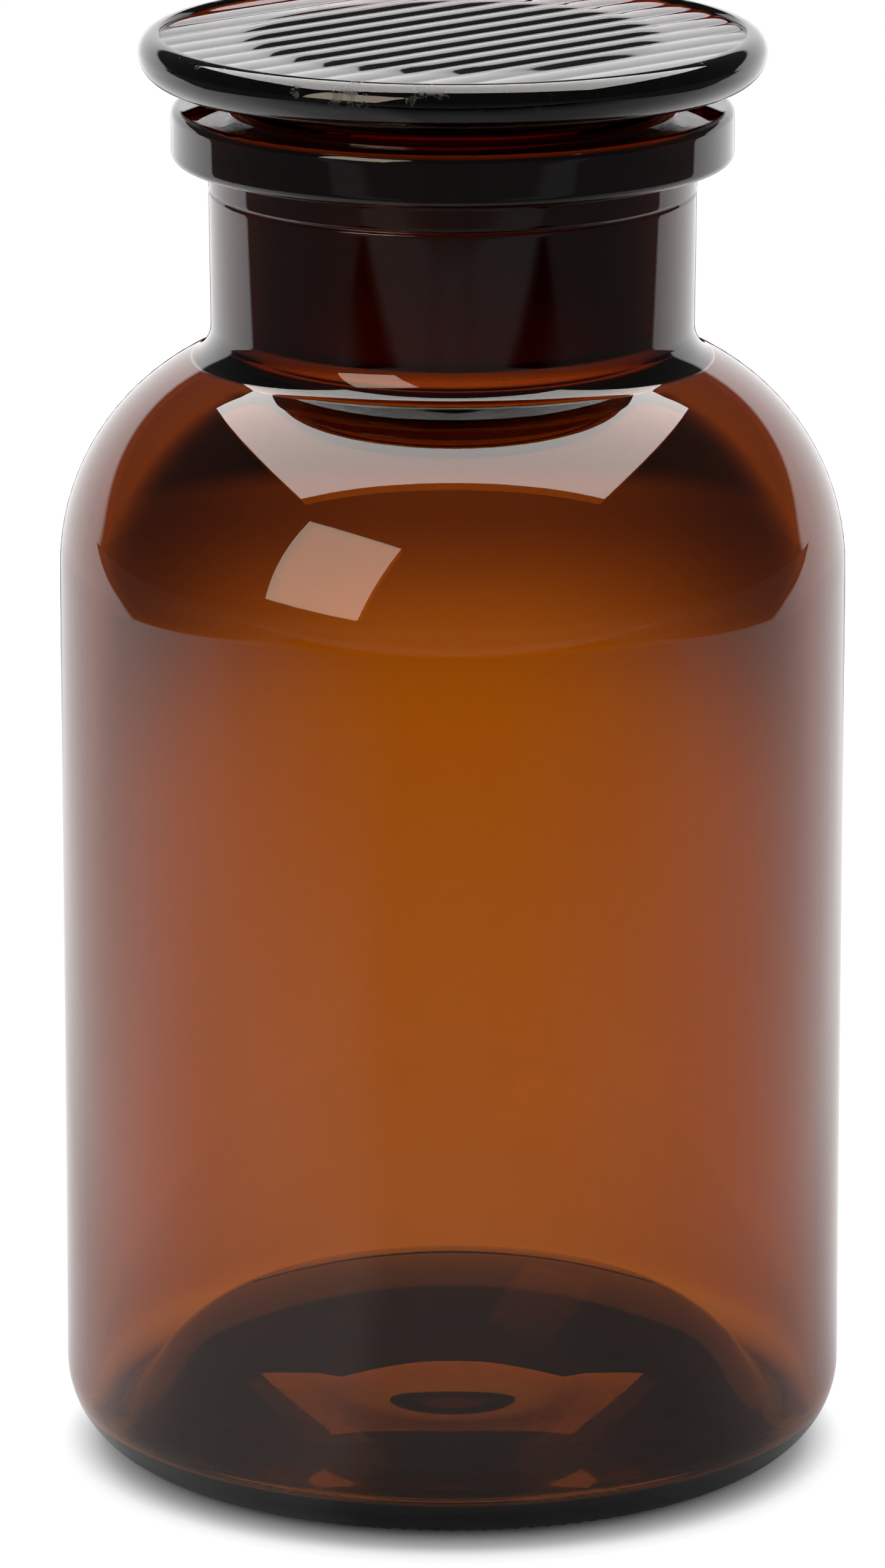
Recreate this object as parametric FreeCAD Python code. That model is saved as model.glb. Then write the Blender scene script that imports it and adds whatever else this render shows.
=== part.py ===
import FreeCAD, Part
import math
import os

# Glass-stoppered bottle: wide-mouth bottle and ground-in stopper, in mm, +Z up,
# standing on its bearing ring at z = 0 with the axis of both pieces on Z.

# Body, heel and punted base
body_r = 53.5
body_wall = 3.0
heel_r = 12.0
bearing_width = 3.0
bearing_round = 0.6
push_up = 15.0
inner_heel_r = 3.8
floor_edge = 5.2
foot_inset = 4.9
foot_fillet = 2.0
flank_turn = 50.0
bend_round = 18.0
crown_inset = 13.6
crown_rise = 5.3
floor_rise = 17.4

# Shoulder
shoulder_z = 124.1
shoulder_r = 32.5
shoulder_turn = 64.0
shoulder_wall = 4.2

# Neck with its mould seam
neck_low_r = 32.72
neck_top_r = 33.0
neck_height = 25.887
neck_fillet = 3.8
seam_drop = 4.13
seam_depth = 0.22
seam_half = 0.35

# Flanged lip
lip_reach = 4.96
lip_height = 7.34
lip_dip = 0.35
lip_low_round = 1.23
lip_top_round = 1.15
mouth_flare = 0.9

# Ground taper shared by the bore and the plug
taper = 0.10
neck_wall = 3.55
bore_inset = 1.87
joint_gap = 0.08

# Stopper: disc, throat and hollow plug
disc_r = 42.32
disc_gap = 3.33
disc_height = 6.5
rim_top_round = 2.5
rim_low_round = 4.0
rim_under = 6.8
throat_rise = 1.73
throat_fillet = 2.6
plug_length = 33.0
plug_end_round = 1.2
plug_wall = 6.0
hollow_draft = 0.9
hollow_corner = 5.0
roof_wall = 7.0

# Reeded field on top of the disc
rim_width = 3.02
field_drop = 0.8
reed_pitch = 5.36
reed_rise = 0.5
reed_angle = 42.0
reed_offset = 1.27

# Heights and radii that follow from the sizes above
inner_r = body_r - body_wall
foot_r = inner_r - foot_inset
bearing_in_r = body_r - heel_r - bearing_width
crown_r = foot_r - crown_inset
floor_top = floor_edge + floor_rise
crown_z = floor_top - crown_rise
crown_slope = 2.0 * crown_r * crown_rise / (crown_r ** 2 - crown_rise ** 2)
flank_slope = math.tan(math.radians(flank_turn))
bend_reach = floor_edge + flank_slope * foot_r - crown_z - crown_slope * crown_r
bend_r = bend_reach / (flank_slope - crown_slope)
bend_z = floor_edge + flank_slope * (foot_r - bend_r)
turn = math.radians(shoulder_turn)
slope = 1.0 / math.tan(turn)
shoulder_corner = shoulder_z + shoulder_r * math.tan(turn / 2.0)
neck_foot = shoulder_corner + (body_r - neck_low_r) * slope
lip_low_z = neck_foot + neck_height
lip_top_z = lip_low_z + lip_height
lip_r = neck_top_r + lip_reach
seam_z = lip_low_z - seam_drop
bore_top_z = lip_top_z - bore_inset
bore_top_r = neck_top_r - neck_wall
rim_low_z = lip_top_z + disc_gap
rim_top_z = rim_low_z + disc_height
field_r = disc_r - rim_width
field_z = rim_top_z - field_drop
throat_z = lip_top_z + throat_rise
plug_end_z = throat_z - plug_length
hollow_roof_z = field_z - roof_wall


def bore_radius(z):
    return bore_top_r - (bore_top_z - z) * taper / 2.0


def rounded(points):
    """Closed wire in the XZ plane from corners given as (r, z, round)."""
    count = len(points)
    cuts = []
    for i in range(count):
        r, z, fillet = points[i]
        here = FreeCAD.Vector(r, 0, z)
        if fillet <= 0:
            cuts.append((here, None, here))
            continue
        before = points[i - 1]
        after = points[(i + 1) % count]
        to_before = FreeCAD.Vector(before[0], 0, before[1]) - here
        to_after = FreeCAD.Vector(after[0], 0, after[1]) - here
        to_before.normalize()
        to_after.normalize()
        half = to_before.getAngle(to_after) / 2.0
        reach = fillet / math.tan(half)
        bisector = to_before + to_after
        bisector.normalize()
        centre = here + bisector * (fillet / math.sin(half))
        middle = centre - bisector * fillet
        cuts.append((here + to_before * reach, middle, here + to_after * reach))
    edges = []
    for i in range(count):
        start, middle, end = cuts[i]
        if middle is not None:
            edges.append(Part.Arc(start, middle, end).toShape())
        following = cuts[(i + 1) % count][0]
        if (following - end).Length > 1e-6:
            edges.append(Part.LineSegment(end, following).toShape())
    return Part.Wire(edges)


def revolve(wire):
    face = Part.Face(wire)
    axis_point = FreeCAD.Vector(0, 0, 0)
    axis = FreeCAD.Vector(0, 0, 1)
    return face.revolve(axis_point, axis, 360)


def dome(radius, low_z, top_z):
    """Solid cap: a sphere segment standing on a disc of the given radius."""
    rise = top_z - low_z
    ball = (radius * radius + rise * rise) / (2.0 * rise)
    cap = Part.makeSphere(ball, FreeCAD.Vector(0, 0, top_z - ball))
    block = Part.makeCylinder(radius, rise + 1.0, FreeCAD.Vector(0, 0, low_z))
    return cap.common(block)


def soften_ring(solid, radius, z, fillet):
    """Round the circular edge that lies at this radius and height."""
    for edge in solid.Edges:
        if edge.Degenerated or not isinstance(edge.Curve, Part.Circle):
            continue
        circle = edge.Curve
        if abs(circle.Radius - radius) < 0.05 and abs(circle.Center.z - z) < 0.05:
            return solid.makeFillet(fillet, [edge])
    raise ValueError("no edge to round at this place")


def make_bottle():
    inner_corner = shoulder_corner - shoulder_wall / math.sin(turn)
    inner_corner = inner_corner + body_wall * slope
    below_mouth = bore_top_z - inner_corner - (inner_r - bore_top_r) * slope
    bore_end = bore_top_z - below_mouth / (1.0 + slope * taper / 2.0)
    outline = [
        (0, 0, 0),
        (body_r, 0, heel_r),
        (body_r, shoulder_corner, shoulder_r),
        (neck_low_r, neck_foot, neck_fillet),
        (neck_top_r, lip_low_z, 0.8),
        (lip_r, lip_low_z, lip_low_round),
        (lip_r, lip_top_z, lip_top_round),
        (bore_top_r + mouth_flare, lip_top_z - lip_dip, 0.9),
        (bore_top_r, bore_top_z, 0.6),
        (bore_radius(bore_end), bore_end, 1.5),
        (inner_r, inner_corner, shoulder_r - body_wall),
        (inner_r, floor_edge, inner_heel_r),
        (foot_r, floor_edge, foot_fillet),
        (bend_r, bend_z, bend_round),
        (crown_r, crown_z, 0),
        (0, crown_z, 0),
    ]
    bottle = revolve(rounded(outline))
    bottle = bottle.fuse(dome(crown_r, crown_z, floor_top))
    bottle = bottle.cut(dome(bearing_in_r, -0.01, push_up))
    bottle = soften_ring(bottle, bearing_in_r, 0, bearing_round)
    seam_r = neck_low_r + (neck_top_r - neck_low_r) * 0.85
    groove = rounded([
        (seam_r + 2.0, seam_z - 2.0 * seam_half, 0),
        (seam_r + 2.0, seam_z + 2.0 * seam_half, 0),
        (seam_r + 0.1, seam_z + seam_half, 0),
        (seam_r - seam_depth, seam_z, 0),
        (seam_r + 0.1, seam_z - seam_half, 0),
    ])
    bottle = bottle.cut(revolve(groove))
    return bottle.removeSplitter()


def make_reeds():
    """Row of convex reeds with sharp grooves between, clipped to the field."""
    half = reed_pitch / 2.0
    count = 2 * int(math.ceil((field_r + reed_offset) / reed_pitch)) + 1
    first = reed_offset - (count // 2) * reed_pitch
    last = first + count * reed_pitch
    low = field_z - reed_rise - 0.5
    edges = []
    for i in range(count):
        left = first + i * reed_pitch
        start = FreeCAD.Vector(left, -disc_r, field_z)
        crest = FreeCAD.Vector(left + half, -disc_r, field_z + reed_rise)
        end = FreeCAD.Vector(left + reed_pitch, -disc_r, field_z)
        edges.append(Part.Arc(start, crest, end).toShape())
    corners = [
        FreeCAD.Vector(last, -disc_r, field_z),
        FreeCAD.Vector(last, -disc_r, low),
        FreeCAD.Vector(first, -disc_r, low),
        FreeCAD.Vector(first, -disc_r, field_z),
    ]
    for a, b in zip(corners[:-1], corners[1:]):
        edges.append(Part.LineSegment(a, b).toShape())
    along = FreeCAD.Vector(0, 2.0 * disc_r, 0)
    comb = Part.Face(Part.Wire(edges)).extrude(along)
    axis = FreeCAD.Vector(0, 0, 1)
    comb.rotate(FreeCAD.Vector(0, 0, 0), axis, reed_angle - 90.0)
    clip_height = 2.0 * reed_rise + 1.0
    clip = Part.makeCylinder(field_r, clip_height, FreeCAD.Vector(0, 0, low))
    return comb.common(clip)


def make_stopper():
    plug_end_r = bore_radius(plug_end_z) - joint_gap
    throat_r = bore_radius(throat_z) - joint_gap
    hollow_r = plug_end_r - plug_wall
    outline = [
        (0, field_z - 0.6, 0),
        (field_r, field_z - 0.6, 0),
        (field_r, rim_top_z - 0.5, 0.0),
        (field_r + 0.9, rim_top_z, 0.6),
        (disc_r, rim_top_z, rim_top_round),
        (disc_r, rim_low_z, rim_low_round),
        (disc_r - rim_under, rim_low_z - 0.1, 0),
        (throat_r, throat_z, throat_fillet),
        (plug_end_r, plug_end_z, plug_end_round),
        (hollow_r, plug_end_z, 1.0),
        (hollow_r + hollow_draft, hollow_roof_z, hollow_corner),
        (0, hollow_roof_z, 0),
    ]
    stopper = revolve(rounded(outline))
    stopper = stopper.fuse(make_reeds())
    return stopper.removeSplitter()


os.makedirs("parts", exist_ok=True)
make_bottle().exportStep("parts/bottle.step")
make_stopper().exportStep("parts/stopper.step")
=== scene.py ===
import math

import bpy
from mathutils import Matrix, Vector


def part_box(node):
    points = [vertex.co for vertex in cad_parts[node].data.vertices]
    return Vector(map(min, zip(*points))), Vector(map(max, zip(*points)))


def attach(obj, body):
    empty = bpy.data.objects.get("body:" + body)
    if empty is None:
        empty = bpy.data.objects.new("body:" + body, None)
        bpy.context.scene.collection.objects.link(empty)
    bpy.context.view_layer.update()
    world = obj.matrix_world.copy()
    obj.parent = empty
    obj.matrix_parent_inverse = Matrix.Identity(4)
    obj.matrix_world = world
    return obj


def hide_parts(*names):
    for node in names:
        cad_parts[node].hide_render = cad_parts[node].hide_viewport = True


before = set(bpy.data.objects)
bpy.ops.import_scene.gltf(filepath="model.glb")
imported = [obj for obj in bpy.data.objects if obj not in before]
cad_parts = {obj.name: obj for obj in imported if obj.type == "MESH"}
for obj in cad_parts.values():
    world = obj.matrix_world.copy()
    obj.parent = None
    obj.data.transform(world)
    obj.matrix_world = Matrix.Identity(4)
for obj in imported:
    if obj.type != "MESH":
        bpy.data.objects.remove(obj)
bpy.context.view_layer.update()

BOTTLE_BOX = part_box("bottle")
STOPPER_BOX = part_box("stopper")

bl_info = {
    "name": "Glass-stoppered bottle",
    "version": (1, 0, 0),
    "blender": (4, 5, 0),
    "location": "3D View > Sidebar > Bottle",
    "description": "Models an amber wide-mouth bottle with its ground-in reeded stopper",
    "category": "Object",
}

MM = 0.001

# Radii and heights taken from the frame
BODY_R = BOTTLE_BOX[1][0]
LIP_TOP = BOTTLE_BOX[1][2]
DISC_R = STOPPER_BOX[1][0]
RIM_TOP = STOPPER_BOX[1][2]
PLUG_END = STOPPER_BOX[0][2]

# Fineness of the meshes
SPIN_STEPS = 264
LEAST_ARC_STEPS = 3
ARC_TURN = math.radians(3.6)
REED_ARC_TURN = math.radians(3.5)
REED_SLICES = 56
MERGE_DISTANCE = 0.002 * MM
SHORTEST_RUN = 0.0001 * MM
SEED_SIZE = 0.1 * MM
SMOOTH_ANGLE = math.radians(35.0)

# A run longer than five holds gets an edge one hold from each end, which keeps its shading flat
HOLD = 0.4 * MM
HOLD_RUN = 5.0

# Bottle: angles, mould seam, mouth and ridges
SHOULDER_TURN = math.radians(64.0)
FLANK_TURN = math.radians(50.0)
SEAM_DROP = 4.13 * MM
SEAM_HALF = 0.35 * MM
SEAM_DEPTH = 0.22 * MM
SEAM_STEP = 0.01 * MM
SEAM_SHARE = 0.85
SEAM_EDGE_ROUND = 0.25 * MM
SEAM_FLOOR_ROUND = 0.12 * MM
UNDER_LIP_FILLET = 0.8 * MM
LIP_LOW_ROUND = 1.23 * MM
LIP_TOP_ROUND = 1.15 * MM
MOUTH_FLARE = 0.9 * MM
MOUTH_DIP = 0.35 * MM
MOUTH_ROUND = 0.9 * MM
BORE_TOP_ROUND = 0.6 * MM
BORE_END_ROUND = 1.5 * MM
RIDGE_STEPS = 2
RIDGE_START = 0.6 * MM
RIDGE_REACH = 5.2 * MM
RIDGE_TOP = 1.2 * MM

# Stopper: throat, disc, hollow and edge of the recess
THROAT_RISE = 1.73 * MM
THROAT_FILLET = 2.6 * MM
RIM_TOP_ROUND = 2.5 * MM
RIM_LOW_ROUND = 4.0 * MM
RIM_UNDER = 6.8 * MM
RIM_FALL = 0.1 * MM
RECESS_EDGE_DROP = 0.5 * MM
RECESS_EDGE_RUN = 0.3 * MM
RECESS_EDGE_ROUND = 0.2 * MM
PLUG_END_ROUND = 1.2 * MM
HOLLOW_END_ROUND = 1.0 * MM
HOLLOW_DRAFT = 0.9 * MM
HOLLOW_CORNER = 5.0 * MM

# Reeds: depth of their root in the disc, clip, and how they sink towards the rim
FIELD_SINK = 0.6 * MM
REED_ROOT = 1.2 * MM
CLIP_OVERLAP = 0.35 * MM
CLIP_HEIGHT = 3.0 * MM
SINK_START = 25.5 * MM
SINK_RUN = 3.5 * MM
SINK_SHARE = 0.62

# Glass: edges of the ground finish, and the scuffs on the stopper's rim. In this and the two
# groups below, a pair holds where a change starts and where it is complete.
CONE_EDGE = (0.25 * MM, 0.35 * MM)
GROUND_FROM_END = (0.8 * MM, 2.0 * MM)
GROUND_BELOW_TOP = (-1.2 * MM, -0.2 * MM)
SCUFF_HEIGHT = (RIM_TOP - 4.2 * MM, RIM_TOP - 3.0 * MM)
SCUFF_REACH = (DISC_R - 2.72 * MM, DISC_R - 2.12 * MM)
SCUFF_GRAIN = (0.58, 0.68)
SCUFF_FINISH = 0.32
PATCH_PLACE = -0.2
PATCH_WIDTH = (0.08, 0.34)
PATCH_GAIN = 0.10

# Painted light and shade of the ground as the glass sees it, in metres from the axis and in turns
# from the camera's side
GROUND_SIZE = 12.0
FRONT_FADE = (0.56, 0.16)
FRONT_POWER = 1.25
FRONT_LEVEL = 0.5
SHEEN_TURN = (math.radians(14.0), math.radians(27.0))
SHEEN_LEVEL = 0.35
RIGHT_TURN = (math.radians(50.0), math.radians(145.0))
LEFT_TURN = (math.radians(60.0), math.radians(100.0))
BACK_LEVEL = 1.4
BACK_LOSS = 0.3
TABLE_HALF_WIDTH = 0.55
TABLE_SPREAD = 1.15
TABLE_SPREAD_START = 0.13
TABLE_SIDE_EDGE = (0.0, 0.05)
TABLE_FRONT_EDGE = (0.60, 0.66)
OFF_TABLE_LEVEL = 0.12
STRIP_LEVEL = 0.12
STRIP_START = (0.62, 0.66)
STRIP_END = (0.78, 0.84)
STRIP_TURN = (math.radians(56.0), math.radians(66.0))
BEHIND_WIDTH = (0.11, 0.18)
DUSK_NEAR = (0.40, 0.62)
DUSK_NEAR_SHARE = 0.70
DUSK_FAR = (0.68, 0.78)
DUSK_FAR_SHARE = 0.30
DUSK_GREEN_LOSS = 0.42
DUSK_BLUE_LOSS = 0.6
FLANK_WIDTH = (0.01, 0.10)
FLANK_BACK = (0.33, 0.5)
FLANK_NEAR_SHARE = 0.25
FLANK_BACK_SHARE = 0.75
FLANK_LOSS = 0.62
WIDE_WIDTH = (0.05, 0.15)
WIDE_LOSS = 0.4
MATT_END = (0.45, 0.8)
CAMERA_MATT = (1.9, 1.9, 1.9, 1.0)
WHITE = (1.0, 1.0, 1.0, 1.0)
BLACK = (0.0, 0.0, 0.0, 1.0)

# Room as the glass sees it, with a backdrop that is an oval on the plane Y = 1
ROOM_LEVEL = 0.07
BACKDROP_PLACE = 0.07
BACKDROP_HALF_WIDTH = 1.4
BACKDROP_HALF_HEIGHT = 0.40
BACKDROP_EDGE = (0.85, 1.1)
BACKDROP_LEVEL = 1.3
BACKDROP_LOSS = 0.68
BACKDROP_LEAST_Y = 0.02

# Soft light overhead, and the value that tells a ray's depth of none from one
LIGHT_WIDTH = 1.076
LIGHT_HEIGHT = 0.8
DEPTH_SPLIT = 0.5


def length(name, description, default):
    """Property that holds a length in metres."""
    return bpy.props.FloatProperty(name=name, description=description, default=default,
                                   unit="LENGTH", precision=5)


class BottleSizes(bpy.types.PropertyGroup):
    """Sizes of the bottle's glass."""
    body_r: length("Body radius", "Outer radius of the straight body", BODY_R)
    wall: length("Wall", "Thickness of the body's wall", 3.0 * MM)
    heel_r: length("Heel round", "Outer round between body and base", 12.0 * MM)
    bearing_width: length("Bearing width", "Width of the flat ring it stands on", 3.0 * MM)
    bearing_round: length("Bearing round", "Round on the ring's inner edge", 0.6 * MM)
    push_up: length("Push-up", "Height of the domed underside", 15.0 * MM)
    inner_heel_r: length("Inner heel", "Round between inner wall and floor", 3.8 * MM)
    floor_edge: length("Floor edge", "Height of the inner floor at its edge", 5.2 * MM)
    foot_inset: length("Foot inset", "From the inner wall to the foot of the punt", 4.9 * MM)
    foot_fillet: length("Foot fillet", "Fillet round the foot of the punt", 2.0 * MM)
    bend_round: length("Bend", "Round between the punt's flank and crown", 18.0 * MM)
    crown_inset: length("Crown inset", "From the foot of the punt to its crown", 13.6 * MM)
    crown_rise: length("Crown rise", "Height of the crown over its own edge", 5.3 * MM)
    floor_rise: length("Floor rise", "How far the inner floor comes up", 17.4 * MM)
    shoulder_z: length("Shoulder height", "Where the straight body ends", 124.1 * MM)
    shoulder_r: length("Shoulder round", "Radius of the shoulder's arc", 32.5 * MM)
    shoulder_wall: length("Shoulder wall", "Thickness of the shoulder", 3.0 * MM)
    neck_low_r: length("Neck radius, low", "Outer radius at the foot of the neck", 32.72 * MM)
    neck_fillet: length("Neck fillet", "Fillet between neck and shoulder", 5.0 * MM)
    neck_top_r: length("Neck radius, top", "Outer radius under the lip", 33.0 * MM)
    lip_reach: length("Lip reach", "How far the lip stands out from the neck", 4.96 * MM)
    lip_height: length("Lip height", "Height of the flanged lip", 7.34 * MM)
    knurl_depth: length("Knurl depth", "Depth of the ridges on the bearing ring", 0.35 * MM)


class StopperSizes(bpy.types.PropertyGroup):
    """Sizes of the stopper's glass."""
    disc_r: length("Disc radius", "Outer radius of the flat top", DISC_R)
    disc_height: length("Disc height", "Height of the disc's rim", 6.5 * MM)
    plug_wall: length("Plug wall", "Thickness of the hollow plug", 6.0 * MM)
    roof: length("Roof", "Glass above the plug's hollow", 7.0 * MM)
    rim_width: length("Rim width", "Width of the plain rim round the reeds", 3.02 * MM)
    field_drop: length("Field drop", "Depth of the reeded field below the rim", 0.8 * MM)
    reed_pitch: length("Reed pitch", "Distance from groove to groove", 5.36 * MM)
    reed_rise: length("Reed rise", "Height of a reed's crest", 0.45 * MM)
    reed_offset: length("Reed offset", "Place of the first groove beside the axis", 1.27 * MM)
    reed_angle: bpy.props.FloatProperty(
        name="Reed direction", description="Direction of the reeds seen from above",
        default=math.radians(42.0), subtype="ANGLE")


class JointSizes(bpy.types.PropertyGroup):
    """Sizes of the ground taper that the neck and the plug share."""
    taper: bpy.props.FloatProperty(name="Taper", description="Change of diameter by length",
                                   default=0.10)
    neck_wall: length("Neck wall", "Glass between neck and bore", 3.55 * MM)
    inset: length("Inset", "How far the ground bore starts below the lip", 1.87 * MM)
    gap: length("Gap", "Clearance between plug and bore", 0.08 * MM)
    ground: bpy.props.FloatProperty(name="Ground finish", default=0.38, min=0.0, max=1.0,
                                    description="Roughness of the ground glass",
                                    subtype="FACTOR")


class GlassFinish(bpy.types.PropertyGroup):
    """Colour and clearness of the glass."""
    tint: bpy.props.FloatVectorProperty(name="Amber", description="Colour that the glass lets by",
                                        default=(0.84, 0.615, 0.05), subtype="COLOR", size=3,
                                        min=0.0, max=1.0)
    bottle_density: bpy.props.FloatProperty(
        name="Bottle density", description="Absorption per metre in the bottle",
        default=1100.0, min=0.0)
    stopper_density: bpy.props.FloatProperty(
        name="Stopper density", description="Absorption per metre in the stopper",
        default=1700.0, min=0.0)
    clear: bpy.props.FloatProperty(name="Clear finish", description="Roughness of clear glass",
                                   default=0.0, min=0.0, max=1.0, subtype="FACTOR")


class StudioLook(bpy.types.PropertyGroup):
    """Light and ground of the photograph."""
    camera_distance: length("Camera distance", "From the bottle's axis to the camera", 1.270)
    camera_height: length("Camera height", "Above the ground", 0.42142)
    camera_side: length("Camera side", "Camera's place across the view", -0.00138)
    camera_pitch: bpy.props.FloatProperty(name="Camera pitch", description="How far it looks down",
                                          default=0.253032, subtype="ANGLE")
    lens: bpy.props.FloatProperty(name="Lens", description="Focal length in millimetres",
                                  default=219.69)
    dome: bpy.props.FloatProperty(name="Dome light", description="Even light from all round",
                                  default=0.55, min=0.0)


SETTINGS = {
    "bottle_sizes": BottleSizes,
    "stopper_sizes": StopperSizes,
    "joint_sizes": JointSizes,
    "glass_finish": GlassFinish,
    "studio_look": StudioLook,
}


class Signal:
    """Output socket of a node, on which arithmetic adds Math nodes."""

    def __init__(self, nodes, socket):
        self.nodes = nodes
        self.socket = socket

    def maths(self, operation, *values):
        """Math node on these values."""
        return self.nodes.add("ShaderNodeMath", {"operation": operation}, dict(enumerate(values)))

    def larger(self, other):
        return self.maths("MAXIMUM", self, other)

    def __add__(self, other):
        return self.maths("ADD", self, other)

    def __radd__(self, other):
        return self.maths("ADD", other, self)

    def __sub__(self, other):
        return self.maths("SUBTRACT", self, other)

    def __rsub__(self, other):
        return self.maths("SUBTRACT", other, self)

    def __mul__(self, other):
        return self.maths("MULTIPLY", self, other)

    def __rmul__(self, other):
        return self.maths("MULTIPLY", other, self)

    def __truediv__(self, other):
        return self.maths("DIVIDE", self, other)

    def __pow__(self, other):
        return self.maths("POWER", self, other)

    def __abs__(self):
        return self.maths("ABSOLUTE", self)

    def __gt__(self, other):
        return self.maths("GREATER_THAN", self, other)

    def __lt__(self, other):
        return self.maths("LESS_THAN", self, other)


class Nodes:
    """Node tree that nodes are added to in one way."""

    def __init__(self, owner):
        owner.use_nodes = True
        self.tree = owner.node_tree
        self.tree.nodes.clear()

    def add(self, kind, settings=None, sockets=None, output=0):
        """Add a node with its settings, then fill or link its sockets."""
        node = self.tree.nodes.new(kind)
        for name, value in (settings or {}).items():
            setattr(node, name, value)
        for key, value in (sockets or {}).items():
            if isinstance(value, Signal):
                self.tree.links.new(value.socket, node.inputs[key])
            else:
                node.inputs[key].default_value = value
        if len(node.outputs) == 0:
            return node
        return Signal(self, node.outputs[output])

    def other(self, signal, output):
        """Another output of the node that the signal comes from."""
        return Signal(self, signal.socket.node.outputs[output])

    def step(self, value, low, high):
        """0 below low, 1 above high, smooth between."""
        return self.add("ShaderNodeMapRange", {"interpolation_type": "SMOOTHSTEP"},
                        {"Value": value, "From Min": low, "From Max": high})

    def fall(self, value, low, high):
        """1 below low, 0 above high, smooth between."""
        return 1.0 - self.step(value, low, high)

    def ramp(self, value, low, high):
        """0 at low, 1 at high, straight between and held outside."""
        return self.add("ShaderNodeMapRange", None,
                        {"Value": value, "From Min": low, "From Max": high})

    def mix(self, factor, first, second):
        """First colour where the factor is 0, second where it is 1."""
        return self.add("ShaderNodeMix", {"data_type": "RGBA"},
                        {0: factor, 6: first, 7: second}, output=2)

    def split(self, vector):
        """X, Y and Z of a vector."""
        x = self.add("ShaderNodeSeparateXYZ", None, {"Vector": vector})
        return x, self.other(x, 1), self.other(x, 2)


def blend(first, second, share):
    """First value where the share is 0, second where it is 1, for numbers and sockets."""
    return first + share * (second - first)


def from_axis(x, y):
    """Distance of a point from the Z axis."""
    return (x * x + y * y) ** 0.5


def azimuth(x, y):
    """Turn round the Z axis from the camera's side, positive to the right."""
    return x.maths("ARCTAN2", x, 0.0 - y)


def clear_selection():
    """Leave edit mode and deselect everything."""
    if bpy.context.object is not None and bpy.context.object.mode != "OBJECT":
        bpy.ops.object.mode_set(mode="OBJECT")
    bpy.ops.object.select_all(action="DESELECT")


def rounded_path(corners):
    """Runs and arcs through corners (r, z, round), each as (end, centre of arc or None)."""
    path = []
    for before, here, after in zip(corners[:-2], corners[1:-1], corners[2:]):
        corner = Vector(here[:2])
        if here[2] <= 0:
            path.append((corner, None))
            continue
        back = (Vector(before[:2]) - corner).normalized()
        ahead = (Vector(after[:2]) - corner).normalized()
        half = back.angle(ahead) / 2.0
        reach = here[2] / math.tan(half)
        centre = corner + (back + ahead).normalized() * (here[2] / math.sin(half))
        path.append((corner + back * reach, None))
        path.append((corner + ahead * reach, centre))
    path.append((Vector(corners[-1][:2]), None))
    return path


def ball_radius(half_width, rise):
    """Radius of the ball or arc that rises by this much over this half width."""
    return (half_width ** 2 + rise ** 2) / (2.0 * rise)


def dome_path(radius, low, rise, fillet):
    """Arcs from the top of a dome down to its foot, with a fillet onto the level it stands on."""
    ball = ball_radius(radius, rise)
    centre = Vector((0.0, low + rise - ball))
    up = low + fillet - centre.y
    fillet_centre = Vector((math.sqrt((ball + fillet) ** 2 - up ** 2), low + fillet))
    ball_end = centre + (fillet_centre - centre) * (ball / (ball + fillet))
    return [(ball_end, centre), (Vector((fillet_centre.x, low)), fillet_centre)]


def trace(name, start, path, arc_turn=ARC_TURN, hold=HOLD):
    """Edge chain in the XZ plane, drawn by extruding and spinning one point."""
    clear_selection()
    bpy.ops.mesh.primitive_plane_add(size=SEED_SIZE, location=(start.x, 0, start.y))
    chain = bpy.context.object
    chain.name = name
    chain.data.name = name
    bpy.ops.object.transform_apply(location=True, rotation=True, scale=True)
    bpy.ops.object.mode_set(mode="EDIT")
    bpy.ops.mesh.select_all(action="SELECT")
    bpy.ops.mesh.merge(type="CENTER")
    here = start
    for end, centre in path:
        if centre is None:
            run = end - here
            if run.length < SHORTEST_RUN:
                continue
            stops = [run]
            if 0.0 < HOLD_RUN * hold < run.length:
                nudge = run.normalized() * hold
                stops = [nudge, run - 2.0 * nudge, nudge]
            for stop in stops:
                step = (stop.x, 0, stop.y)
                bpy.ops.mesh.extrude_vertices_move(TRANSFORM_OT_translate={"value": step})
        else:
            first = here - centre
            last = end - centre
            turn = math.atan2(last.y, last.x) - math.atan2(first.y, first.x)
            turn = (turn + math.pi) % (2.0 * math.pi) - math.pi
            steps = max(LEAST_ARC_STEPS, math.ceil(abs(turn) / arc_turn))
            bpy.ops.mesh.spin(steps=steps, angle=turn, center=(centre.x, 0, centre.y),
                              axis=(0, 1, 0))
        here = end
    return chain


def turn_on_axis():
    """Spin the chain in edit mode once round Z and close its seam and poles."""
    bpy.ops.mesh.select_all(action="SELECT")
    bpy.ops.mesh.spin(steps=SPIN_STEPS, angle=2.0 * math.pi, center=(0, 0, 0), axis=(0, 0, 1))
    bpy.ops.mesh.select_all(action="SELECT")
    bpy.ops.mesh.remove_doubles(threshold=MERGE_DISTANCE)
    bpy.ops.mesh.normals_make_consistent(inside=False)


def bore_radius(scene, z):
    """Radius of the ground taper at height z, for numbers and sockets."""
    bore_top_r = scene.bottle_sizes.neck_top_r - scene.joint_sizes.neck_wall
    bore_top_z = LIP_TOP - scene.joint_sizes.inset
    return bore_top_r - (bore_top_z - z) * scene.joint_sizes.taper / 2.0


def finish_solid(solid):
    """Leave edit mode, smooth the surface and name the mesh after its piece."""
    clear_selection()
    solid.select_set(True)
    bpy.context.view_layer.objects.active = solid
    bpy.ops.object.shade_smooth_by_angle(angle=SMOOTH_ANGLE, keep_sharp_edges=False)
    solid.data.name = solid.name


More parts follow.
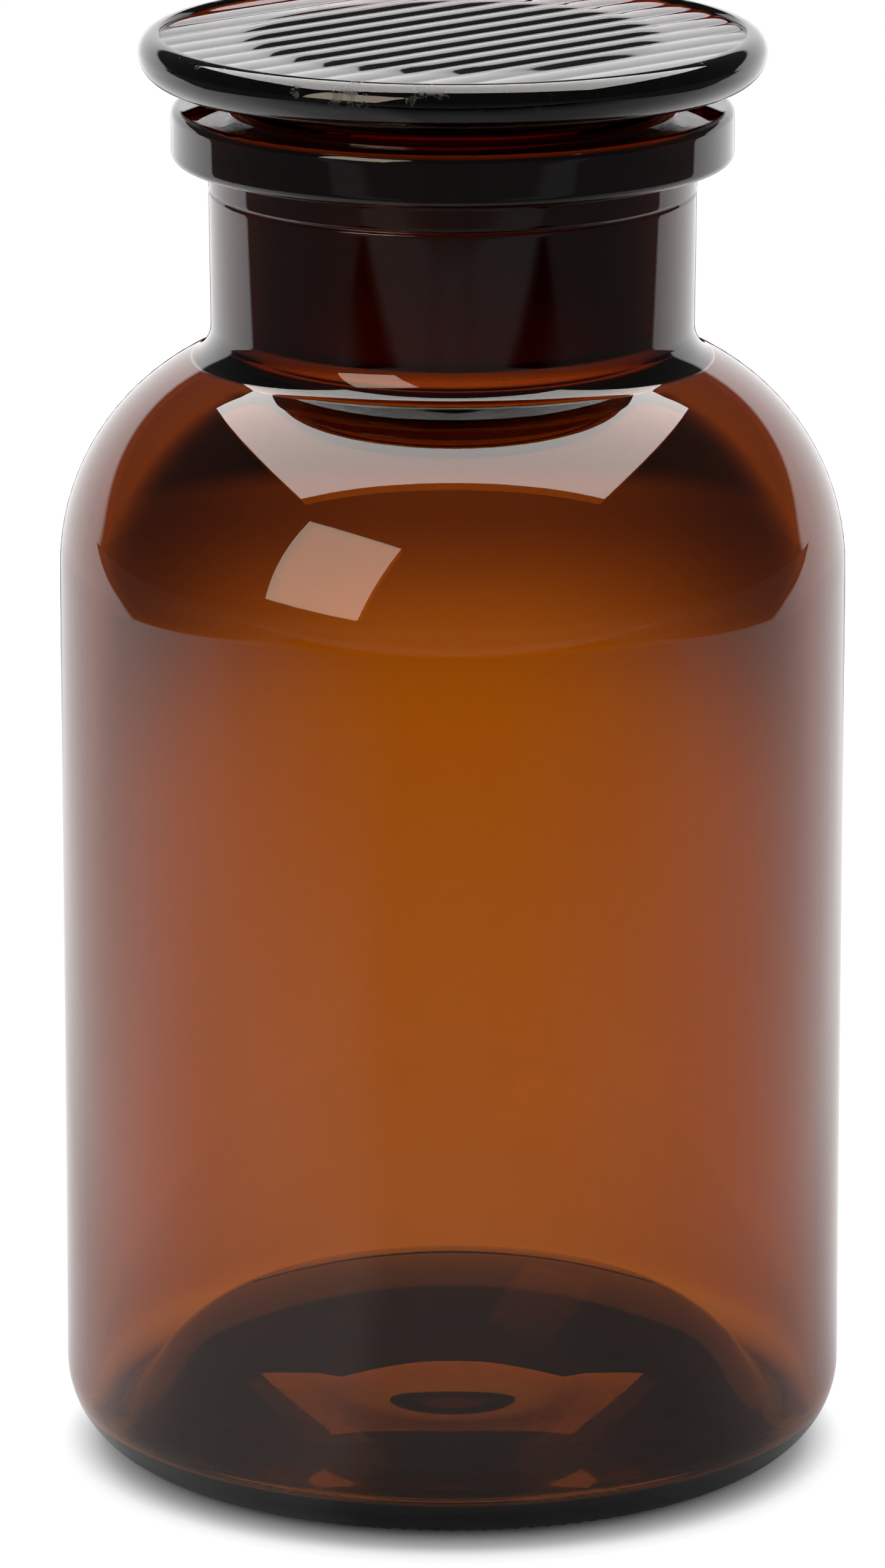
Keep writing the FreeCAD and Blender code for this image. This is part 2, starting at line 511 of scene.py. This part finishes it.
def select_vertices(mesh, wanted):
    """Select the vertices whose place passes the test, in edit mode."""
    bpy.ops.mesh.select_mode(type="VERT")
    bpy.ops.mesh.select_all(action="DESELECT")
    bpy.ops.object.mode_set(mode="OBJECT")
    for vertex in mesh.vertices:
        vertex.select = wanted(vertex.co)
    bpy.ops.object.mode_set(mode="EDIT")


class MESH_OT_amber_bottle(bpy.types.Operator):
    """Model the bottle: body, shoulder, neck, flanged lip and ground bore"""
    bl_idname = "mesh.amber_bottle"
    bl_label = "Bottle"

    def execute(self, context):
        scene = context.scene
        size = scene.bottle_sizes
        slope = 1.0 / math.tan(SHOULDER_TURN)
        shoulder_corner = size.shoulder_z + size.shoulder_r * math.tan(SHOULDER_TURN / 2.0)
        inner_r = size.body_r - size.wall
        wall_drop = size.shoulder_wall / math.sin(SHOULDER_TURN)
        inner_corner = shoulder_corner - wall_drop + size.wall * slope
        bore_top_z = LIP_TOP - scene.joint_sizes.inset
        bore_top_r = bore_radius(scene, bore_top_z)
        fall = bore_top_z - inner_corner - (inner_r - bore_top_r) * slope
        bore_end = bore_top_z - fall / (1.0 + slope * scene.joint_sizes.taper / 2.0)
        bearing_in_r = size.body_r - size.heel_r - size.bearing_width
        underside = dome_path(bearing_in_r, 0.0, size.push_up, size.bearing_round)
        punt_corners, crown = self.punt(size)
        outline = rounded_path([
            (underside[-1][0].x, 0, 0),
            *self.outer_corners(size, shoulder_corner, slope),
            (bore_top_r + MOUTH_FLARE, LIP_TOP - MOUTH_DIP, MOUTH_ROUND),
            (bore_top_r, bore_top_z, BORE_TOP_ROUND),
            (bore_radius(scene, bore_end), bore_end, BORE_END_ROUND),
            (inner_r, inner_corner, size.shoulder_r - size.wall),
            (inner_r, size.floor_edge, size.inner_heel_r),
            *punt_corners,
        ])
        start = Vector((0.0, size.push_up))
        bottle = trace("bottle_glass", start, [*underside, *outline, crown])
        turn_on_axis()
        ring_low = bearing_in_r + RIDGE_START
        ring_high = size.body_r - size.heel_r + RIDGE_REACH
        self.knurl(bottle.data, ring_low, ring_high, size.knurl_depth)
        finish_solid(bottle)
        bottle.data.materials.append(glass(
            "amber_glass_bottle", scene, bore_end, scene.glass_finish.bottle_density))
        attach(bottle, "bottle")
        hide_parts("bottle")
        return {"FINISHED"}

    def outer_corners(self, size, shoulder_corner, slope):
        """Corners of the outside: heel, shoulder, neck with its mould seam, and lip."""
        neck_foot = shoulder_corner + (size.body_r - size.neck_low_r) * slope
        lip_low = LIP_TOP - size.lip_height
        lip_r = size.neck_top_r + size.lip_reach
        seam_z = lip_low - SEAM_DROP
        seam_r = blend(size.neck_low_r, size.neck_top_r, SEAM_SHARE)
        return [
            (size.body_r, 0, size.heel_r),
            (size.body_r, shoulder_corner, size.shoulder_r),
            (size.neck_low_r, neck_foot, size.neck_fillet),
            (seam_r - SEAM_STEP, seam_z - SEAM_HALF, SEAM_EDGE_ROUND),
            (seam_r - SEAM_DEPTH, seam_z, SEAM_FLOOR_ROUND),
            (seam_r + SEAM_STEP, seam_z + SEAM_HALF, SEAM_EDGE_ROUND),
            (size.neck_top_r, lip_low, UNDER_LIP_FILLET),
            (lip_r, lip_low, LIP_LOW_ROUND),
            (lip_r, LIP_TOP, LIP_TOP_ROUND),
        ]

    def punt(self, size):
        """Corners of the inner floor up to the edge of the punt's crown, and the crown's arc."""
        foot_r = size.body_r - size.wall - size.foot_inset
        crown_r = foot_r - size.crown_inset
        crown_top = Vector((0.0, size.floor_edge + size.floor_rise))
        crown_z = crown_top.y - size.crown_rise
        ball = ball_radius(crown_r, size.crown_rise)
        crown_slope = crown_r / (ball - size.crown_rise)
        flank_slope = math.tan(FLANK_TURN)
        bend_reach = size.floor_edge + flank_slope * foot_r - crown_z - crown_slope * crown_r
        bend_r = bend_reach / (flank_slope - crown_slope)
        corners = [
            (foot_r, size.floor_edge, size.foot_fillet),
            (bend_r, size.floor_edge + flank_slope * (foot_r - bend_r), size.bend_round),
            (crown_r, crown_z, 0),
        ]
        return corners, (crown_top, crown_top - Vector((0.0, ball)))

    def knurl(self, mesh, ring_low, ring_high, depth):
        """Raise every second line of the bearing ring, which leaves fine ridges."""
        pitch = 2.0 * math.pi / SPIN_STEPS

        def valley(place):
            reach = math.hypot(place.x, place.y)
            line = round(math.atan2(place.y, place.x) / pitch)
            on_ring = place.z < RIDGE_TOP and ring_low < reach < ring_high
            return on_ring and line % RIDGE_STEPS == 1

        select_vertices(mesh, valley)
        bpy.ops.transform.translate(value=(0, 0, depth))


class MESH_OT_reeded_stopper(bpy.types.Operator):
    """Model the stopper: flat disc with a reeded field, throat and hollow ground plug"""
    bl_idname = "mesh.reeded_stopper"
    bl_label = "Stopper"

    def execute(self, context):
        scene = context.scene
        size = scene.stopper_sizes
        gap = scene.joint_sizes.gap
        rim_low = RIM_TOP - size.disc_height
        throat_z = LIP_TOP + THROAT_RISE
        field_r = size.disc_r - size.rim_width
        field_z = RIM_TOP - size.field_drop
        under_reeds = field_z - FIELD_SINK
        roof_z = field_z - size.roof
        plug_end_r = bore_radius(scene, PLUG_END) - gap
        hollow_r = plug_end_r - size.plug_wall
        outline = rounded_path([
            (0, under_reeds, 0),
            (field_r, under_reeds, 0),
            (field_r, RIM_TOP - RECESS_EDGE_DROP, 0),
            (field_r + RECESS_EDGE_RUN, RIM_TOP, RECESS_EDGE_ROUND),
            (size.disc_r, RIM_TOP, RIM_TOP_ROUND),
            (size.disc_r, rim_low, RIM_LOW_ROUND),
            (size.disc_r - RIM_UNDER, rim_low - RIM_FALL, 0),
            (bore_radius(scene, throat_z) - gap, throat_z, THROAT_FILLET),
            (plug_end_r, PLUG_END, PLUG_END_ROUND),
            (hollow_r, PLUG_END, HOLLOW_END_ROUND),
            (hollow_r + HOLLOW_DRAFT, roof_z, HOLLOW_CORNER),
            (0, roof_z, 0),
        ])
        stopper = trace("stopper_glass", Vector((0.0, under_reeds)), outline)
        turn_on_axis()
        combine(stopper, self.reeds(size, field_r, field_z), "UNION")
        finish_solid(stopper)
        stopper.data.materials.append(glass(
            "amber_glass_stopper", scene, PLUG_END, scene.glass_finish.stopper_density))
        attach(stopper, "stopper")
        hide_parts("stopper")
        return {"FINISHED"}

    def reeds(self, size, field_r, field_z):
        """Row of convex reeds, clipped to a disc that runs a little into the rim."""
        half = size.reed_pitch / 2.0
        arc_r = ball_radius(half, size.reed_rise)
        count = 2 * math.ceil((field_r + size.reed_offset) / size.reed_pitch) + 1
        first = size.reed_offset - (count // 2) * size.reed_pitch
        low = field_z - REED_ROOT
        path = [(Vector((first, field_z)), None)]
        for index in range(count):
            left = first + index * size.reed_pitch
            path.append((Vector((left + size.reed_pitch, field_z)),
                         Vector((left + half, field_z + size.reed_rise - arc_r))))
        path.append((Vector((first + count * size.reed_pitch, low)), None))
        comb = trace("reeds", Vector((first, low)), path, arc_turn=REED_ARC_TURN, hold=0.0)
        bpy.ops.mesh.select_all(action="SELECT")
        bpy.ops.mesh.edge_face_add()
        bpy.ops.transform.translate(value=(0, -size.disc_r, 0))
        step = (0, 2.0 * size.disc_r / REED_SLICES, 0)
        for index in range(REED_SLICES):
            bpy.ops.mesh.extrude_region_move(TRANSFORM_OT_translate={"value": step})
        bpy.ops.mesh.select_all(action="SELECT")
        bpy.ops.mesh.normals_make_consistent(inside=False)
        bpy.ops.object.mode_set(mode="OBJECT")
        comb.rotation_euler.z = size.reed_angle - math.pi / 2.0
        bpy.ops.object.transform_apply(location=True, rotation=True, scale=True)
        self.sink_towards_rim(comb.data, field_z)
        clear_selection()
        bpy.ops.mesh.primitive_cylinder_add(vertices=SPIN_STEPS, radius=field_r + CLIP_OVERLAP,
                                            depth=CLIP_HEIGHT, location=(0, 0, field_z))
        disc = bpy.context.object
        bpy.ops.object.transform_apply(location=True, rotation=True, scale=True)
        combine(comb, disc, "INTERSECT")
        return comb

    def sink_towards_rim(self, mesh, field_z):
        """Make the crests lower near the rim, as they are on the pressed disc."""
        for vertex in mesh.vertices:
            over = vertex.co.z - field_z
            if over > 0:
                reach = math.hypot(vertex.co.x, vertex.co.y)
                fade = min(1.0, max(0.0, (reach - SINK_START) / SINK_RUN))
                vertex.co.z = field_z + over * (1.0 - SINK_SHARE * fade)


def combine(piece, other, operation):
    """Boolean of the piece with the other, which is used up."""
    clear_selection()
    piece.select_set(True)
    bpy.context.view_layer.objects.active = piece
    modifier = piece.modifiers.new("combine", "BOOLEAN")
    modifier.operation = operation
    modifier.solver = "EXACT"
    modifier.object = other
    bpy.ops.object.modifier_apply(modifier=modifier.name)
    bpy.data.objects.remove(other)


def glass(name, scene, ground_end, density):
    """Amber glass: clear, dull where the joint is ground, and scuffed on the stopper's rim."""
    material = bpy.data.materials.new(name)
    nodes = Nodes(material)
    finish = scene.glass_finish
    ground_finish = scene.joint_sizes.ground
    bore_top_z = LIP_TOP - scene.joint_sizes.inset
    point = nodes.add("ShaderNodeTexCoord", output="Object")
    x, y, z = nodes.split(point)
    reach = from_axis(x, y)
    on_cone = nodes.fall(abs(reach - bore_radius(scene, z)), *CONE_EDGE)
    above = nodes.step(z, *(ground_end + offset for offset in GROUND_FROM_END))
    below = nodes.fall(z, *(bore_top_z + offset for offset in GROUND_BELOW_TOP))
    roughness = blend(finish.clear, ground_finish, on_cone * above * below)
    grain = nodes.add("ShaderNodeTexNoise", None, {
        "Vector": point, "Scale": 260.0, "Detail": 5.0, "Roughness": 0.75}, output="Fac")
    patch = nodes.fall(abs(azimuth(x, y) - PATCH_PLACE), *PATCH_WIDTH)
    rim = nodes.step(z, *SCUFF_HEIGHT) * nodes.step(reach, *SCUFF_REACH)
    worn = rim * nodes.step(grain + PATCH_GAIN * patch, *SCUFF_GRAIN)
    roughness = blend(roughness, SCUFF_FINISH, worn)
    shader = nodes.add("ShaderNodeBsdfPrincipled", None, {
        "Base Color": WHITE,
        "IOR": 1.51,
        "Transmission Weight": 1.0,
        "Roughness": roughness,
    })
    inside = nodes.add("ShaderNodeVolumeAbsorption", None, {
        "Color": (*finish.tint, 1.0),
        "Density": density,
    })
    nodes.add("ShaderNodeOutputMaterial", None, {"Surface": shader, "Volume": inside})
    return material


class SCENE_OT_studio(bpy.types.Operator):
    """Set up the camera, the white ground and the soft lights"""
    bl_idname = "scene.bottle_studio"
    bl_label = "Studio"

    def execute(self, context):
        look = context.scene.studio_look
        self.camera(context.scene, look)
        self.ground()
        self.overhead_softbox()
        self.front_softbox()
        self.world(context.scene, look)
        context.scene.view_settings.view_transform = "Standard"
        return {"FINISHED"}

    def camera(self, scene, look):
        """Camera of the photograph, which looks down a little from the front."""
        clear_selection()
        place = (look.camera_side, -look.camera_distance, look.camera_height)
        turn = (math.pi / 2.0 - look.camera_pitch, 0.0, 0.0)
        bpy.ops.object.camera_add(location=place, rotation=turn)
        camera = bpy.context.object
        camera.name = "photo_camera"
        camera.data.lens = look.lens
        camera.data.sensor_width = 36.0
        camera.data.clip_end = 20.0
        scene.camera = camera

    def ground(self):
        """White table, evenly white to the camera and with the studio's light and shade painted on
        it for the glass.
        """
        clear_selection()
        bpy.ops.mesh.primitive_plane_add(size=GROUND_SIZE, location=(0, 0, 0))
        ground = bpy.context.object
        ground.name = "ground"
        material = bpy.data.materials.new("white_table")
        nodes = Nodes(material)
        camera = nodes.add("ShaderNodeLightPath", output="Is Camera Ray")
        passed = nodes.other(camera, "Transmission Depth") > DEPTH_SPLIT
        point = nodes.add("ShaderNodeTexCoord", output="Object")
        x, y = nodes.split(point)[:2]
        # Painted light and shade of the studio, which only reflections and the glass see on the
        # ground
        painted_levels = self.painted_table_light(nodes, x, y, passed)
        matt = nodes.add("ShaderNodeBsdfDiffuse", None, {
            "Color": nodes.mix(camera, painted_levels, CAMERA_MATT)})
        plain = nodes.add("ShaderNodeEmission", None, {
            "Color": nodes.mix(camera, painted_levels, WHITE)})
        far = nodes.step(from_axis(x, y), *MATT_END)
        seen = nodes.add("ShaderNodeMixShader", None, {0: far, 1: matt, 2: plain})
        nodes.add("ShaderNodeOutputMaterial", None, {"Surface": seen})
        ground.data.materials.append(material)

    def painted_table_light(self, nodes, x, y, passed):
        """Painted light and shade of the ground in reflections, or through the glass where passed
        is 1.
        """
        near = 0.0 - y
        turn = azimuth(x, y)

        # Painted light and shade: the table fades out in front, less so at the left with a painted
        # sheen, and is brightest beside and behind
        front = nodes.ramp(near, *FRONT_FADE) ** FRONT_POWER
        sheen = nodes.step(0.0 - turn, *SHEEN_TURN) * front
        level = FRONT_LEVEL * front + SHEEN_LEVEL * sheen
        round_back = nodes.step(turn, *RIGHT_TURN) + nodes.step(0.0 - turn, *LEFT_TURN)
        level = blend(level, BACK_LEVEL - BACK_LOSS * passed, round_back)

        # Off the table the floor is dark, with one paler strip in front
        strip = nodes.step(near, *STRIP_START) * nodes.fall(near, *STRIP_END)
        strip = strip * nodes.fall(abs(turn), *STRIP_TURN)
        spread = (y - TABLE_SPREAD_START).larger(0.0)
        half_width = TABLE_HALF_WIDTH + TABLE_SPREAD * spread
        past_side = nodes.step(abs(x) - half_width, *TABLE_SIDE_EDGE)
        off_table = past_side.larger(nodes.step(near, *TABLE_FRONT_EDGE))
        level = blend(level, OFF_TABLE_LEVEL + STRIP_LEVEL * strip, off_table)

        # Painted shade straight behind the bottle: darker on both flanks, and dimmer and redder
        # far back
        behind = nodes.fall(abs(x), *BEHIND_WIDTH)
        back = FLANK_NEAR_SHARE + FLANK_BACK_SHARE * nodes.step(y, *FLANK_BACK)
        flanks = behind * nodes.step(abs(x), *FLANK_WIDTH) * back
        wide = passed * nodes.step(abs(x), *WIDE_WIDTH)
        dusk = DUSK_NEAR_SHARE * nodes.step(y, *DUSK_NEAR)
        dusk = behind * (dusk + DUSK_FAR_SHARE * nodes.step(y, *DUSK_FAR))
        level = level * (1.0 - dusk) * (1.0 - FLANK_LOSS * flanks) * (1.0 - WIDE_LOSS * wide)
        green = level * (1.0 - DUSK_GREEN_LOSS * dusk)
        blue = level * (1.0 - DUSK_BLUE_LOSS * dusk)
        return nodes.add("ShaderNodeCombineColor", None, {0: level, 1: green, 2: blue})

    def card(self, name, size, place, facing, roll, colour, strength):
        """Flat lit card that only reflections and the glass see."""
        clear_selection()
        bpy.ops.mesh.primitive_plane_add(size=1.0)
        card = bpy.context.object
        card.name = name
        card.scale = (*size, 1.0)
        card.rotation_euler = (Vector(facing) - Vector(place)).to_track_quat("Z", "Y").to_euler()
        card.location = place
        bpy.ops.object.transform_apply(location=False, rotation=False, scale=True)
        card.rotation_euler.rotate_axis("Z", roll)
        material = bpy.data.materials.new(name)
        nodes = Nodes(material)
        bounces = nodes.add("ShaderNodeLightPath", output="Diffuse Depth")
        seen = nodes.mix(bounces < DEPTH_SPLIT, BLACK, (*colour, 1.0))
        light = nodes.add("ShaderNodeEmission", None, {"Color": seen, "Strength": strength})
        nodes.add("ShaderNodeOutputMaterial", None, {"Surface": light})
        material.cycles.emission_sampling = "NONE"
        card.data.materials.append(material)
        card.visible_camera = False
        card.visible_diffuse = False
        card.visible_shadow = False

    def overhead_softbox(self):
        """Wide card over the bottle for the glass to see, and a lamp that lights the table."""
        self.card("overhead_card", size=(LIGHT_WIDTH, 0.94), place=(0.0, 0.185, LIGHT_HEIGHT),
                  facing=(0.0, 0.185, 0.0), roll=0.0, colour=(1.0, 0.98, 0.95), strength=6.2)
        clear_selection()
        bpy.ops.object.light_add(type="AREA", location=(0.0, 0.145, LIGHT_HEIGHT))
        lamp = bpy.context.object
        lamp.name = "overhead_lamp"
        lamp.data.shape = "RECTANGLE"
        lamp.data.size = LIGHT_WIDTH
        lamp.data.size_y = 0.86
        lamp.data.energy = 4.0
        lamp.visible_camera = False
        lamp.visible_glossy = False
        lamp.visible_transmission = False

    def front_softbox(self):
        """Warm card at the front left, for the glass to mirror."""
        self.card("front_card", size=(0.64, 0.79), place=(-0.688, -0.888, 0.572),
                  facing=(0.0, 0.0, 0.135), roll=math.radians(10.0), colour=(1.0, 0.84, 0.66),
                  strength=5.0)

    def world(self, scene, look):
        """White to the camera, and to the glass a dark room with a white backdrop behind."""
        world = bpy.data.worlds.new("studio_room")
        scene.world = world
        nodes = Nodes(world)
        camera = nodes.add("ShaderNodeLightPath", output="Is Camera Ray")
        glossy = nodes.other(camera, "Is Glossy Ray")
        through = nodes.other(camera, "Is Transmission Ray")
        scattered = nodes.other(camera, "Is Diffuse Ray")
        bounces = nodes.other(camera, "Diffuse Depth")
        passes = nodes.other(camera, "Transmission Depth")
        direction = nodes.add("ShaderNodeTexCoord", output="Generated")
        x, y, z = nodes.split(direction)
        across = (x / y - BACKDROP_PLACE) / BACKDROP_HALF_WIDTH
        upward = z / y / BACKDROP_HALF_HEIGHT
        oval = across ** 2.0 + upward ** 2.0
        backdrop = (y > BACKDROP_LEAST_Y) * nodes.fall(oval, *BACKDROP_EDGE)
        backdrop = backdrop * (BACKDROP_LEVEL - BACKDROP_LOSS * (passes > DEPTH_SPLIT))
        by_glass = glossy.larger(through) * (bounces < DEPTH_SPLIT)
        level = camera + by_glass * (ROOM_LEVEL + backdrop) + scattered * look.dome
        shader = nodes.add("ShaderNodeBackground", None, {"Color": WHITE, "Strength": level})
        nodes.add("ShaderNodeOutputWorld", None, {"Surface": shader})
        world.cycles.sampling_method = "NONE"


class VIEW3D_PT_bottle(bpy.types.Panel):
    """List the bottle's sizes and the operators that make it"""
    bl_idname = "VIEW3D_PT_bottle"
    bl_label = "Glass-stoppered bottle"
    bl_space_type = "VIEW_3D"
    bl_region_type = "UI"
    bl_category = "Bottle"

    def draw(self, context):
        for name, group in SETTINGS.items():
            box = self.layout.box()
            box.label(text=group.__doc__)
            for field in group.__annotations__:
                box.prop(getattr(context.scene, name), field)
        for operator in (MESH_OT_amber_bottle, MESH_OT_reeded_stopper, SCENE_OT_studio):
            self.layout.operator(operator.bl_idname)


CLASSES = (*SETTINGS.values(), MESH_OT_amber_bottle, MESH_OT_reeded_stopper, SCENE_OT_studio,
           VIEW3D_PT_bottle)


def register():
    for item in CLASSES:
        bpy.utils.register_class(item)
    for name, group in SETTINGS.items():
        setattr(bpy.types.Scene, name, bpy.props.PointerProperty(type=group))


def unregister():
    for name in SETTINGS:
        delattr(bpy.types.Scene, name)
    for item in reversed(CLASSES):
        bpy.utils.unregister_class(item)


def main():
    register()
    bpy.ops.mesh.amber_bottle()
    bpy.ops.mesh.reeded_stopper()
    bpy.ops.scene.bottle_studio()


if __name__ == "__main__":
    main()
